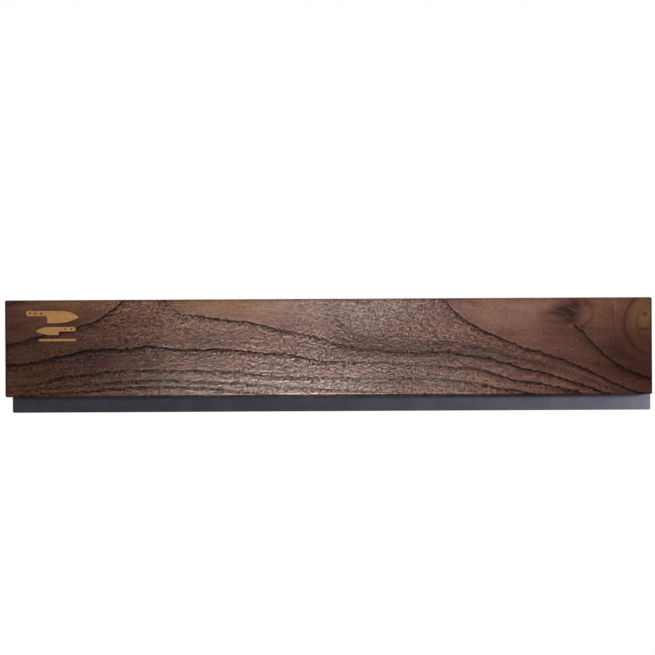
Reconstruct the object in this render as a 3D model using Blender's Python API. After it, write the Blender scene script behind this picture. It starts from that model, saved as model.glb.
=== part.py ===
"""Wall-mounted magnetic knife strip: a walnut bar on a dark steel back plate.

Millimetres in the constants, metres in the model. X runs along the bar, Z is up
and the side that holds the knives faces -Y. The origin lies on the wall's
surface, at the middle of the bar's length and of the wood's height.
"""

import math

import bmesh
import bpy
from mathutils import Matrix, Vector

MM = 0.001  # metres in a millimetre
GAP = 0.3  # clearance between pieces that lie against each other
OVER = 1.0  # how far a cutter runs past the face that it opens

# The wooden bar
BAR_LENGTH = 400.0
BAR_HEIGHT = 60.0
BAR_DEPTH = 18.0
BAR_EDGE = 1.2  # radius of its eased edges

# The stack from the wall forwards, along -Y
PAD_THICKNESS = 1.2
PLATE_THICKNESS = 2.0
PLATE_BACK = -(PAD_THICKNESS + GAP)
PLATE_FRONT = PLATE_BACK - PLATE_THICKNESS
BAR_BACK = PLATE_FRONT - GAP
BAR_FRONT = BAR_BACK - BAR_DEPTH

# The back plate, which shows as a lip under the wood
PLATE_LENGTH = 395.9
PLATE_SHIFT = 1.65  # its centre sits this far towards +X
PLATE_LIP = 9.8  # how far it reaches below the wood
PLATE_TOP_INSET = 3.0
PLATE_CORNER = 1.0
PLATE_EDGE = 0.4

# The rubber strip between the plate and the wall
PAD_LENGTH = 300.0
PAD_HEIGHT = 18.0
PAD_CORNER = 3.0

# The magnet pack in the channel behind the wood's front skin
SKIN = 2.2
MAGNET_COUNT = 12
MAGNET_LENGTH = 26.0
MAGNET_PITCH = 26.5
MAGNET_HEIGHT = 20.0
MAGNET_DEPTH = 10.0
MAGNET_CHAMFER = 0.7
RAIL_THICKNESS = 3.0
RAIL_DEPTH = 12.0
RAIL_CHAMFER = 0.4
FOAM_CORNER = 2.0
FOAM_THICKNESS = 2.8
PACK_LENGTH = 322.0  # length of the rails and of the foam strip
PACK_HALF_HEIGHT = MAGNET_HEIGHT / 2 + GAP + RAIL_THICKNESS
CHANNEL_END_ROOM = 6.0  # space past each end of the pack, for the cutter's round corners
CHANNEL_SIDE_ROOM = 0.6
CHANNEL_CORNER = 5.0
CHANNEL_FLOOR = BAR_FRONT + SKIN
RAIL_FRONT = CHANNEL_FLOOR + GAP
MAGNET_FRONT = RAIL_FRONT + (RAIL_DEPTH - MAGNET_DEPTH) / 2

# The countersunk screws that hold the plate to the wood
PLATE_SCREW_X = (-165.0, -55.0, 55.0, 165.0)
PLATE_SCREW_Z = 21.5
PLATE_SCREW_SHANK = 1.5
PLATE_SCREW_HEAD = 2.8
PLATE_SCREW_LENGTH = 12.0
PLATE_SCREW_SINK = 0.15  # how far the head sits below the plate's rear face
PLATE_SCREW_CONE = 1.3  # depth of the countersunk cone
PLATE_SCREW_RIM = 0.15  # height of the head's straight rim
PLATE_SCREW_TAPER = 3.0  # length of the tapered point
PLATE_SCREW_DRIVE = (1.5, 0.6, 1.0)  # the cross recess: reach, width and depth
SCREW_TIP_RADIUS = 0.25

# The keyholes and the wall fixings that the bar hangs on
KEYHOLE_X = 182.0
HANG_Z = 8.0  # the screws' height while the bar hangs on them
LIFT = 9.0  # how far the bar lifts before the heads meet the keyholes' entries
ENTRY_RADIUS = 4.9
WALL_SCREW_SHANK = 1.75
WALL_SCREW_HEAD = 3.8
WALL_SCREW_HEAD_THICKNESS = 2.4
WALL_SCREW_LENGTH = 26.0
WALL_SCREW_TAPER = 3.5
WALL_SCREW_DRIVE = (2.1, 0.8, 1.6)
WALL_SCREW_ROOM = 0.4  # between the head and the plate
SLOT_HALF_WIDTH = 2.4
POCKET_DEPTH = 4.5
PLUG_RADIUS = 3.0
PLUG_BORE = 2.1
PLUG_COLLAR = 4.6
PLUG_COLLAR_THICKNESS = 0.8
PLUG_LENGTH = 26.0
PLUG_BARBS = 5
PLUG_BARB = 0.5  # how far a barb stands out
PLUG_NECK = 6.0  # smooth length behind the collar
PLUG_POINT = 3.0  # length of the tapered end
PLUG_FLOOR = 1.5  # thickness of the closed end
PLUG_SLIT = 0.8  # width of the slit
PLUG_SLIT_START = 9.1  # how far behind the collar it begins

# The inlaid mark at the upper left of the front face: two knives above a bar.
# Each knife: left end, top, length, blade height, handle length, handle height, rivets.
# A knife whose point is to the left has a negative length and starts at its right end.
MARK_LEFT = -187.1
MARK_TOP = 23.5
MARK_THICKNESS = 0.6
MARK_KNIVES = {
    "mark_knife_upper": (0.0, 0.0, 33.0, 7.8, 12.0, 3.5, 3),
    "mark_knife_lower": (31.0, -10.0, -25.0, 5.2, 9.5, 2.9, 2),
}
MARK_RIVET_RADIUS = 0.5
MARK_LINE = (8.0, 31.0, -19.0, -17.4)  # left, right, bottom and top
MARK_LINE_CORNER = 0.7


def clear_scene():
    """Remove every object that the file starts with."""
    for obj in list(bpy.data.objects):
        bpy.data.objects.remove(obj, do_unlink=True)


def principled(name, colour, roughness, metallic=0.0):
    """A plain material of one colour, in linear values."""
    material = bpy.data.materials.new(name)
    material.use_nodes = True
    shader = material.node_tree.nodes["Principled BSDF"]
    shader.inputs["Base Color"].default_value = (*colour, 1.0)
    shader.inputs["Roughness"].default_value = roughness
    shader.inputs["Metallic"].default_value = metallic
    material.diffuse_color = (*colour, 1.0)
    return material


def group(name):
    """An empty that a rigid group of pieces hangs on."""
    empty = bpy.data.objects.new(name, None)
    bpy.context.scene.collection.objects.link(empty)
    return empty


def place(name, bm, material=None, parent=None):
    """A new object from a bmesh in millimetres, which is freed."""
    bmesh.ops.recalc_face_normals(bm, faces=bm.faces)
    bmesh.ops.scale(bm, vec=(MM, MM, MM), verts=bm.verts)
    mesh = bpy.data.meshes.new(name)
    bm.to_mesh(mesh)
    bm.free()
    if material:
        mesh.materials.append(material)
    obj = bpy.data.objects.new(name, mesh)
    bpy.context.scene.collection.objects.link(obj)
    obj.parent = parent
    return obj


def cut(target, cutter):
    """Take the cutter's shape out of the target."""
    cutter.hide_render = True
    cutter.display_type = "WIRE"
    modifier = target.modifiers.new("cut_" + cutter.name, "BOOLEAN")
    modifier.operation = "DIFFERENCE"
    modifier.solver = "EXACT"
    modifier.object = cutter


def ease(obj, width, segments):
    """Round or chamfer every sharp edge of an object by a width in millimetres."""
    modifier = obj.modifiers.new("eased_edges", "BEVEL")
    modifier.width = width * MM
    modifier.segments = segments
    modifier.limit_method = "ANGLE"
    modifier.angle_limit = math.radians(40.0)


def smooth(obj):
    """Shade a round piece smooth and keep its real corners sharp."""
    obj.data.shade_smooth()
    obj.data.set_sharp_from_angle(angle=math.radians(35.0))


def box(low, high):
    """A box between two opposite corners."""
    bm = bmesh.new()
    bmesh.ops.create_cube(bm, size=1.0)
    size = Vector(high) - Vector(low)
    bmesh.ops.scale(bm, vec=size, verts=bm.verts)
    bmesh.ops.translate(bm, vec=(Vector(low) + Vector(high)) / 2, verts=bm.verts)
    return bm


def prism(outline, y_low, y_high):
    """An outline of (x, z) points, extruded along Y."""
    bm = bmesh.new()
    face = bm.faces.new([bm.verts.new((x, y_low, z)) for x, z in outline])
    raised = bmesh.ops.extrude_face_region(bm, geom=[face])
    verts = [item for item in raised["geom"] if isinstance(item, bmesh.types.BMVert)]
    bmesh.ops.translate(bm, vec=(0.0, y_high - y_low, 0.0), verts=verts)
    return bm


def lathe(profile, segments):
    """A profile of (radius, z) points turned about Z. It starts and ends on the axis."""
    bm = bmesh.new()
    rings = []
    for radius, z in profile:
        if radius == 0.0:
            rings.append([bm.verts.new((0.0, 0.0, z))] * segments)
            continue
        turns = [math.tau * index / segments for index in range(segments)]
        ring = [bm.verts.new((radius * math.cos(a), radius * math.sin(a), z)) for a in turns]
        rings.append(ring)
    for lower, upper in zip(rings, rings[1:]):
        for index in range(segments):
            after = (index + 1) % segments
            corners = [lower[index], lower[after], upper[after], upper[index]]
            bm.faces.new(list(dict.fromkeys(corners)))
    return bm


def arc(centre, radius, start, end, steps):
    """Points on an arc, from one angle to another in degrees, both ends included."""
    points = []
    for index in range(steps + 1):
        angle = math.radians(start + (end - start) * index / steps)
        x = centre[0] + radius * math.cos(angle)
        z = centre[1] + radius * math.sin(angle)
        points.append((x, z))
    return points


def sweep(start, control, end, steps):
    """Points on a quadratic curve, without its start."""
    points = []
    for index in range(1, steps + 1):
        t = index / steps
        a, b, c = (1 - t) ** 2, 2 * t * (1 - t), t * t
        x = a * start[0] + b * control[0] + c * end[0]
        z = a * start[1] + b * control[1] + c * end[1]
        points.append((x, z))
    return points


def rounded_rectangle(x_low, x_high, z_low, z_high, radius, steps):
    """A rectangle with round corners, counter-clockwise."""
    left, right = x_low + radius, x_high - radius
    bottom, top = z_low + radius, z_high - radius
    corners = ((right, bottom, -90), (right, top, 0), (left, top, 90), (left, bottom, 180))
    points = []
    for x, z, start in corners:
        points += arc((x, z), radius, start, start + 90, steps)
    return points


def grown(outline, distance):
    """A counter-clockwise outline with its edges moved outwards."""
    moved = []
    for index, point in enumerate(outline):
        here = Vector(point)
        before = (here - Vector(outline[index - 1])).normalized()
        after = (Vector(outline[(index + 1) % len(outline)]) - here).normalized()
        across = Vector((before.y + after.y, -before.x - after.x)).normalized()
        reach = distance / max(across.dot(Vector((after.y, -after.x))), 0.5)
        moved.append(tuple(here + across * reach))
    return moved


def keyhole(x):
    """The outline of one keyhole: a round entry with a narrower slot above it."""
    entry_z = HANG_Z - LIFT
    half = math.degrees(math.asin(SLOT_HALF_WIDTH / ENTRY_RADIUS))
    entry = arc((x, entry_z), ENTRY_RADIUS, 90 + half, 450 - half, 28)
    slot_end = arc((x, HANG_Z), SLOT_HALF_WIDTH, 0, 180, 10)
    return entry + slot_end


def screw_pocket(x):
    """The outline of the wood's pocket, which gives a screw's head its travel."""
    entry_z = HANG_Z - LIFT
    lower = arc((x, entry_z), ENTRY_RADIUS, 180, 360, 12)
    upper = arc((x, HANG_Z), ENTRY_RADIUS, 0, 180, 12)
    return lower + upper


def cross_recess(reach, width, z_low, z_high):
    """A plus-shaped driver recess about Z."""
    half = width / 2
    arm = [(reach, -half), (reach, half), (half, half)]
    outline = []
    for quarter in range(4):
        turn = Matrix.Rotation(quarter * math.pi / 2, 2)
        outline += [turn @ Vector(point) for point in arm]
    bm = bmesh.new()
    face = bm.faces.new([bm.verts.new((p.x, p.y, z_low)) for p in outline])
    raised = bmesh.ops.extrude_face_region(bm, geom=[face])
    verts = [item for item in raised["geom"] if isinstance(item, bmesh.types.BMVert)]
    bmesh.ops.translate(bm, vec=(0.0, 0.0, z_high - z_low), verts=verts)
    return bm


def knife_outline(x, z, length, blade, handle, grip):
    """A plain kitchen knife, its edge down, counter-clockwise. See MARK_KNIVES."""
    side = math.copysign(1.0, length)
    reach = abs(length)
    radius = grip / 2
    heel = (handle + 1.2, -blade)
    belly = (handle + 0.35 * (reach - handle), -blade)
    bend = (handle + 0.4 * (reach - handle), 0.0)
    tip = (reach, -0.55 * blade)
    points = arc((radius, -radius), radius, 90, 270, 8)
    points += [(handle, -grip), (heel[0], -grip - 0.6), heel, belly]
    points += sweep(belly, (0.5 * (belly[0] + reach), -blade), tip, 7)
    points += sweep(tip, (0.55 * (bend[0] + reach), -0.02 * blade), bend, 7)
    placed = [(MARK_LEFT + x + side * along, MARK_TOP + z + up) for along, up in points]
    return placed if side > 0 else placed[::-1]


def line_outline():
    """The short bar under the knives."""
    left, right, bottom, top = MARK_LINE
    return rounded_rectangle(
        MARK_LEFT + left, MARK_LEFT + right, MARK_TOP + bottom, MARK_TOP + top, MARK_LINE_CORNER, 4
    )


def mark_outlines():
    """The outline of each inlaid piece, by its name."""
    outlines = {name: knife_outline(*sizes[:-1]) for name, sizes in MARK_KNIVES.items()}
    outlines["mark_line"] = line_outline()
    return outlines


def screw_places():
    """The x and z of each screw that holds the plate."""
    return [(x, z) for z in (PLATE_SCREW_Z, -PLATE_SCREW_Z) for x in PLATE_SCREW_X]


def make_walnut_bar(material, parent):
    """The wood, hollowed from behind for the magnet pack, the fasteners and the mark."""
    half_x, half_z = BAR_LENGTH / 2, BAR_HEIGHT / 2
    body = box((-half_x, BAR_FRONT, -half_z), (half_x, BAR_BACK, half_z))
    bar = place("walnut_bar", body, material, parent)
    ease(bar, BAR_EDGE, 3)

    over = BAR_BACK + OVER
    half_x = PACK_LENGTH / 2 + CHANNEL_END_ROOM
    half_z = PACK_HALF_HEIGHT + CHANNEL_SIDE_ROOM
    channel = rounded_rectangle(-half_x, half_x, -half_z, half_z, CHANNEL_CORNER, 6)
    cut(bar, place("channel_cutter", prism(channel, CHANNEL_FLOOR, over), None, parent))
    for side in (-1, 1):
        pocket = prism(screw_pocket(side * KEYHOLE_X), BAR_BACK - POCKET_DEPTH, over)
        cut(bar, place(f"pocket_cutter_{side}", pocket, None, parent))
    depth = BAR_BACK - PLATE_SCREW_LENGTH
    for number, (x, z) in enumerate(screw_places(), 1):
        hole = arc((x, z), PLATE_SCREW_SHANK + GAP, 0, 345, 23)
        cut(bar, place(f"pilot_cutter_{number}", prism(hole, depth, over), None, parent))
    floor = BAR_FRONT + MARK_THICKNESS + GAP
    for name, outline in mark_outlines().items():
        recess = prism(grown(outline, GAP), BAR_FRONT - OVER, floor)
        cut(bar, place(f"{name}_cutter", recess, None, parent))
    return bar


def make_mark(material, parent):
    """The inlay: two knives with rivet holes in their handles, and a bar under them."""
    back = BAR_FRONT + MARK_THICKNESS
    pieces = {}
    for name, outline in mark_outlines().items():
        pieces[name] = place(name, prism(outline, BAR_FRONT, back), material, parent)
    for name, (x, z, length, _, handle, grip, rivets) in MARK_KNIVES.items():
        for number in range(rivets):
            along = handle * (number + 0.75) / (rivets + 0.5)
            centre = (MARK_LEFT + x + math.copysign(along, length), MARK_TOP + z - grip / 2)
            hole = arc(centre, MARK_RIVET_RADIUS, 0, 330, 11)
            cutter = prism(hole, BAR_FRONT - OVER, back + OVER)
            cut(pieces[name], place(f"{name}_rivet_{number + 1}", cutter, None, parent))


def make_back_plate(material, parent):
    """The steel plate behind the wood, with its keyholes and countersunk holes."""
    x_low, x_high = PLATE_SHIFT - PLATE_LENGTH / 2, PLATE_SHIFT + PLATE_LENGTH / 2
    z_low, z_high = -BAR_HEIGHT / 2 - PLATE_LIP, BAR_HEIGHT / 2 - PLATE_TOP_INSET
    outline = rounded_rectangle(x_low, x_high, z_low, z_high, PLATE_CORNER, 4)
    plate = place("back_plate", prism(outline, PLATE_FRONT, PLATE_BACK), material, parent)
    ease(plate, PLATE_EDGE, 2)
    for side in (-1, 1):
        hole = prism(keyhole(side * KEYHOLE_X), PLATE_FRONT - OVER, PLATE_BACK + OVER)
        cut(plate, place(f"keyhole_cutter_{side}", hole, None, parent))
    shank = PLATE_SCREW_SHANK + GAP
    mouth = PLATE_SCREW_HEAD + 2 * PLATE_SCREW_SINK + GAP
    profile = [
        (0.0, -PLATE_THICKNESS - OVER),
        (shank, -PLATE_THICKNESS - OVER),
        (shank, -PLATE_SCREW_CONE - PLATE_SCREW_SINK),
        (mouth, 0.0),
        (mouth, OVER),
        (0.0, OVER),
    ]
    for number, (x, z) in enumerate(screw_places(), 1):
        cutter = place(f"sink_cutter_{number}", lathe(profile, 24), None, parent)
        cutter.location = Vector((x, PLATE_BACK, z)) * MM
        cutter.rotation_euler.x = math.radians(-90.0)
        cut(plate, cutter)


def make_plate_screws(material, parent):
    """Eight countersunk screws, each turned about its own Z with its head at +Z."""
    head, shank = PLATE_SCREW_HEAD, PLATE_SCREW_SHANK
    tip = -PLATE_SCREW_LENGTH
    reach, width, depth = PLATE_SCREW_DRIVE
    profile = [
        (0.0, tip),
        (SCREW_TIP_RADIUS, tip),
        (shank, tip + PLATE_SCREW_TAPER),
        (shank, -PLATE_SCREW_CONE),
        (head, -PLATE_SCREW_RIM),
        (head, 0.0),
        (0.0, 0.0),
    ]
    for number, (x, z) in enumerate(screw_places(), 1):
        screw = place(f"plate_screw_{number}", lathe(profile, 16), material, parent)
        recess = cross_recess(reach, width, -depth, OVER)
        cut(screw, place(f"recess_cutter_{number}", recess, None, screw))
        smooth(screw)
        screw.location = Vector((x, PLATE_BACK - PLATE_SCREW_SINK, z)) * MM
        screw.rotation_euler.x = math.radians(-90.0)


def make_magnet_pack(ferrite, steel, foam, parent):
    """Two steel rails with a row of magnets between them, and the foam behind."""
    half_x = PACK_LENGTH / 2
    near, far = MAGNET_HEIGHT / 2 + GAP, PACK_HALF_HEIGHT
    for name, z_low, z_high in (("upper", near, far), ("lower", -far, -near)):
        low, high = (-half_x, RAIL_FRONT, z_low), (half_x, RAIL_FRONT + RAIL_DEPTH, z_high)
        rail = place(f"pole_rail_{name}", box(low, high), steel, parent)
        ease(rail, RAIL_CHAMFER, 1)
    for number in range(MAGNET_COUNT):
        x = (number - (MAGNET_COUNT - 1) / 2) * MAGNET_PITCH
        half = (MAGNET_LENGTH / 2, MAGNET_HEIGHT / 2)
        low = (x - half[0], MAGNET_FRONT, -half[1])
        high = (x + half[0], MAGNET_FRONT + MAGNET_DEPTH, half[1])
        magnet = place(f"magnet_{number + 1:02d}", box(low, high), ferrite, parent)
        ease(magnet, MAGNET_CHAMFER, 1)
    front = RAIL_FRONT + RAIL_DEPTH + GAP
    half_z = PACK_HALF_HEIGHT - GAP
    outline = rounded_rectangle(-half_x, half_x, -half_z, half_z, FOAM_CORNER, 4)
    place("foam_strip", prism(outline, front, front + FOAM_THICKNESS), foam, parent)


def make_wall_pad(material, parent):
    """The rubber strip, whose rear face lies on the wall."""
    half_x, half_z = PAD_LENGTH / 2, PAD_HEIGHT / 2
    outline = rounded_rectangle(-half_x, half_x, -half_z, half_z, PAD_CORNER, 6)
    place("wall_pad", prism(outline, -PAD_THICKNESS, 0.0), material, parent)


def make_wall_screw(name, x, material, parent):
    """A pan-head screw with its head inside the wood's pocket and its point in the wall."""
    head, shank = WALL_SCREW_HEAD, WALL_SCREW_SHANK
    thick, tip = WALL_SCREW_HEAD_THICKNESS, -WALL_SCREW_LENGTH
    profile = [
        (0.0, tip),
        (SCREW_TIP_RADIUS, tip),
        (shank, tip + WALL_SCREW_TAPER),
        (shank, 0.0),
        (head - 0.2, 0.0),
        (head, 0.3),
        (head, thick * 0.55),
        (head * 0.88, thick * 0.82),
        (head * 0.6, thick),
        (0.0, thick),
    ]
    screw = place(name, lathe(profile, 24), material, parent)
    reach, width, depth = WALL_SCREW_DRIVE
    recess = cross_recess(reach, width, thick - depth, thick + OVER)
    cut(screw, place(f"{name}_recess", recess, None, screw))
    smooth(screw)
    screw.location = Vector((x, PLATE_FRONT - WALL_SCREW_ROOM, HANG_Z)) * MM
    screw.rotation_euler.x = math.radians(90.0)


def make_wall_plug(name, x, material, parent):
    """A nylon plug: a collar on the wall, a barbed body in it, and a slit to spread it."""
    barb_start, barb_end = -PLUG_NECK, -PLUG_LENGTH + PLUG_POINT
    pitch = (barb_start - barb_end) / PLUG_BARBS
    outside = [(0.0, -PLUG_LENGTH), (PLUG_RADIUS * 0.7, -PLUG_LENGTH), (PLUG_RADIUS, barb_end)]
    for barb in range(PLUG_BARBS):
        z = barb_end + barb * pitch
        outside += [(PLUG_RADIUS + PLUG_BARB, z + pitch * 0.7), (PLUG_RADIUS, z + pitch)]
    collar = PLUG_COLLAR_THICKNESS
    outside += [(PLUG_RADIUS, 0.0), (PLUG_COLLAR, 0.0), (PLUG_COLLAR, collar)]
    floor = -PLUG_LENGTH + PLUG_FLOOR
    inside = [(PLUG_BORE, collar), (PLUG_BORE, floor), (0.0, floor)]
    plug = place(name, lathe(outside + inside, 24), material, parent)
    reach, half = PLUG_RADIUS + PLUG_BARB + OVER, PLUG_SLIT / 2
    slit = box((-reach, -half, -PLUG_LENGTH - OVER), (reach, half, -PLUG_SLIT_START))
    cut(plug, place(f"{name}_slit", slit, None, plug))
    smooth(plug)
    plug.location = Vector((x, 0.0, HANG_Z)) * MM
    plug.rotation_euler.x = math.radians(90.0)


def main():
    clear_scene()
    walnut = principled("walnut", (0.125, 0.066, 0.048), 0.5)
    dark_steel = principled("dark_painted_steel", (0.045, 0.044, 0.056), 0.45, 0.3)
    bare_steel = principled("bare_steel", (0.50, 0.50, 0.51), 0.4, 0.9)
    zinc = principled("zinc_plated_steel", (0.60, 0.60, 0.58), 0.3, 0.9)
    ferrite = principled("ferrite", (0.055, 0.055, 0.058), 0.55)
    rubber = principled("black_rubber", (0.02, 0.02, 0.021), 0.85)
    foam = principled("grey_foam", (0.16, 0.16, 0.17), 0.95)
    nylon = principled("grey_nylon", (0.42, 0.43, 0.44), 0.6)
    maple = principled("tan_inlay", (0.58, 0.29, 0.10), 0.5)

    bar = group("bar_group")
    fixings = group("wall_fixings_group")
    make_walnut_bar(walnut, bar)
    make_mark(maple, bar)
    make_magnet_pack(ferrite, bare_steel, foam, bar)
    make_back_plate(dark_steel, bar)
    make_plate_screws(zinc, bar)
    make_wall_pad(rubber, bar)
    for side, x in (("left", -KEYHOLE_X), ("right", KEYHOLE_X)):
        make_wall_screw(f"wall_screw_{side}", x, zinc, fixings)
        make_wall_plug(f"wall_plug_{side}", x, nylon, fixings)


main()
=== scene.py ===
"""The looks of the magnetic knife strip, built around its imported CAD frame.

The frame is in metres: X along the bar, Z up, the knives' side faces -Y, the wall
is the plane Y = 0. Sizes below are in millimetres unless a name says otherwise.
"""
from math import asin, cos, degrees, pi, radians, sin, tan, tau

import bmesh
import bpy
import numpy as np
from mathutils import Matrix, Vector, noise


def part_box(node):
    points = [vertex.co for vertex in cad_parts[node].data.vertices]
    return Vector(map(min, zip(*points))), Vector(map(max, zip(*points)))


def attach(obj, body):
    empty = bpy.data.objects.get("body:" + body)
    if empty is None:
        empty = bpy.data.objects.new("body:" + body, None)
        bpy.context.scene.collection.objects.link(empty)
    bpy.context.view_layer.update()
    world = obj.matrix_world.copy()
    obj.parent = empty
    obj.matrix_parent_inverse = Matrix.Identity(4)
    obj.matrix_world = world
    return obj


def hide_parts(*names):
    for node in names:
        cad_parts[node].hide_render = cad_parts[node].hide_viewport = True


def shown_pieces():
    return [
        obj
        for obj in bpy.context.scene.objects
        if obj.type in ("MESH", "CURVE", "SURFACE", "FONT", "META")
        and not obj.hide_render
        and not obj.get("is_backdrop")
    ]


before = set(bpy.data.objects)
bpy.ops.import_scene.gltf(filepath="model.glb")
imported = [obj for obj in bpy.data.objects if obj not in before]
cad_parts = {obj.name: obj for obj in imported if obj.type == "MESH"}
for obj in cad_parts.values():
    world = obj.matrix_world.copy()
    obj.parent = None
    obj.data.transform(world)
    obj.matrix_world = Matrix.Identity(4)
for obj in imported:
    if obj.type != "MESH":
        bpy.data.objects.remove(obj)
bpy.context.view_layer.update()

MM = 0.001


def box_mm(node):
    """A CAD node's lowest and highest corners, in millimetres."""
    low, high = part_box(node)
    return np.array(low) / MM, np.array(high) / MM


def centre_xz(node):
    """The middle of a CAD node in x and z."""
    low, high = box_mm(node)
    return (low[0] + high[0]) / 2, (low[2] + high[2]) / 2


WOOD_LOW, WOOD_HIGH = box_mm("walnut_bar")
PLATE_LOW, PLATE_HIGH = box_mm("back_plate")
WOOD_FRONT = WOOD_LOW[1]
WOOD_EDGE = 1.2  # radius of the wood's eased edges
SIDES = ("left", "right")
PLATE_SCREWS = [f"plate_screw_{number}" for number in range(1, 9)]

# --- small tools for meshes ---


def new_object(name, data):
    """An object in the scene."""
    obj = bpy.data.objects.new(name, data)
    bpy.context.scene.collection.objects.link(obj)
    return obj


def new_piece(name, mesh, material, body, slot, *replaces):
    """A mesh as a piece of the object: it rides on a body and stands for CAD nodes."""
    mesh.materials.clear()
    mesh.materials.append(material)
    obj = new_object(name, mesh)
    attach(obj, body)
    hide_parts(*replaces)
    return obj


def mesh_from(bm, name, turn=None, place=(0.0, 0.0, 0.0)):
    """A mesh in metres from a bmesh in millimetres, turned and then placed."""
    matrix = Matrix.Translation(Vector(place)) @ (turn or Matrix.Identity(4))
    bmesh.ops.transform(bm, matrix=Matrix.Scale(MM, 4) @ matrix, verts=bm.verts)
    bmesh.ops.recalc_face_normals(bm, faces=bm.faces)
    mesh = bpy.data.meshes.new(name)
    bm.to_mesh(mesh)
    bm.free()
    return mesh


def applied(mesh, *settings):
    """The mesh after modifiers, each given as (type, {setting: value})."""
    obj = new_object("being_made", mesh)
    for kind, values in settings:
        modifier = obj.modifiers.new(kind.lower(), kind)
        for key, value in values.items():
            setattr(modifier, key, value)
    graph = bpy.context.evaluated_depsgraph_get()
    made = bpy.data.meshes.new_from_object(obj.evaluated_get(graph), depsgraph=graph)
    bpy.data.objects.remove(obj)
    return made


def read_points(mesh):
    """The mesh's vertices in millimetres, as an array."""
    return np.array([vertex.co for vertex in mesh.vertices]) / MM


def write_points(mesh, points):
    """Move the mesh's vertices to points in millimetres."""
    mesh.vertices.foreach_set("co", (points * MM).astype(np.float32).ravel())
    mesh.update()


def cut_away(mesh, cutters, solver="EXACT"):
    """The mesh with each cutter mesh taken out of it."""
    objects = [new_object("cutter", cutter) for cutter in cutters]
    settings = {"operation": "DIFFERENCE", "solver": solver}
    made = applied(mesh, *[("BOOLEAN", {**settings, "object": obj}) for obj in objects])
    for obj in objects:
        bpy.data.objects.remove(obj)
    return made


def cleaned(mesh, shortest):
    """The mesh without edges below a length in millimetres and the faces they leave."""
    bm = bmesh.new()
    bm.from_mesh(mesh)
    bmesh.ops.remove_doubles(bm, verts=bm.verts, dist=shortest * MM)
    bmesh.ops.dissolve_degenerate(bm, edges=bm.edges, dist=shortest * MM)
    bm.to_mesh(mesh)
    bm.free()
    return mesh


def rounded(mesh, width, segments=2, angle=35.0, clamped=True, smooth=50.0):
    """The mesh with its sharp edges rounded, shaded smooth up to an angle in degrees."""
    settings = {
        "width": width * MM, "segments": segments, "use_clamp_overlap": clamped,
        "limit_method": "ANGLE", "angle_limit": radians(angle),
    }
    made = cleaned(applied(cleaned(mesh, 0.01), ("BEVEL", settings)), 0.001)
    made.shade_smooth()
    made.set_sharp_from_angle(angle=radians(smooth))
    return applied(made, ("WEIGHTED_NORMAL", {"keep_sharp": True}))


def arc(centre, radius, start, end, steps):
    """Points on an arc between two angles in degrees, both ends included."""
    turns = np.radians(np.linspace(start, end, steps + 1))
    return [(centre[0] + radius * cos(a), centre[1] + radius * sin(a)) for a in turns]


def sweep(start, control, end, steps):
    """Points on a quadratic curve, without its start."""
    points = []
    for t in np.linspace(0.0, 1.0, steps + 1)[1:]:
        a, b, c = (1 - t) ** 2, 2 * t * (1 - t), t * t
        points.append(tuple(a * s + b * m + c * e for s, m, e in zip(start, control, end)))
    return points


def rounded_rectangle(x_low, x_high, z_low, z_high, radius, steps):
    """A rectangle with round corners, counter-clockwise."""
    left, right = x_low + radius, x_high - radius
    bottom, top = z_low + radius, z_high - radius
    corners = ((right, bottom, -90), (right, top, 0), (left, top, 90), (left, bottom, 180))
    points = []
    for x, z, start in corners:
        points += arc((x, z), radius, start, start + 90, steps)
    return points


def grown(outline, distance):
    """A counter-clockwise outline with its edges moved outwards."""
    moved = []
    for index, point in enumerate(outline):
        here = Vector(point)
        before = (here - Vector(outline[index - 1])).normalized()
        after = (Vector(outline[(index + 1) % len(outline)]) - here).normalized()
        across = Vector((before.y + after.y, -before.x - after.x)).normalized()
        reach = distance / max(across.dot(Vector((after.y, -after.x))), 0.5)
        moved.append(tuple(here + across * reach))
    return moved


def skin(bm, rings):
    """Add the faces between each closed ring of vertices and the next."""
    for lower, upper in zip(rings, rings[1:]):
        for index in range(len(lower)):
            after = (index + 1) % len(lower)
            corners = [lower[index], lower[after], upper[after], upper[index]]
            bm.faces.new(list(dict.fromkeys(corners)))


def prism(outline, y_low, y_high):
    """A bmesh of an outline of (x, z) points extruded along Y."""
    bm = bmesh.new()
    near = [bm.verts.new((x, y_low, z)) for x, z in outline]
    far = [bm.verts.new((x, y_high, z)) for x, z in outline]
    bm.faces.new(near)
    bm.faces.new(far[::-1])
    skin(bm, [near, far])
    return bm


def slab(node, name, radius=0.0, steps=0):
    """A CAD node's box as a mesh. Seen from the front its corners may be round."""
    low, high = box_mm(node)
    outline = rounded_rectangle(low[0], high[0], low[2], high[2], radius, steps)
    return mesh_from(prism(outline, low[1], high[1]), name)


def lathe(profile, segments, radius_at=None):
    """A bmesh of (radius, z) points turned about Z, from axis to axis.

    radius_at(radius, z, turn) may change the radius round the axis, as a thread does.
    """
    bm = bmesh.new()
    rings = []
    for radius, z in profile:
        if radius == 0.0:
            rings.append([bm.verts.new((0.0, 0.0, z))] * segments)
            continue
        ring = []
        for index in range(segments):
            turn = tau * index / segments
            reach = radius_at(radius, z, turn) if radius_at else radius
            ring.append(bm.verts.new((reach * cos(turn), reach * sin(turn), z)))
        rings.append(ring)
    skin(bm, rings)
    return bm


# --- small tools for materials ---


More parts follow.
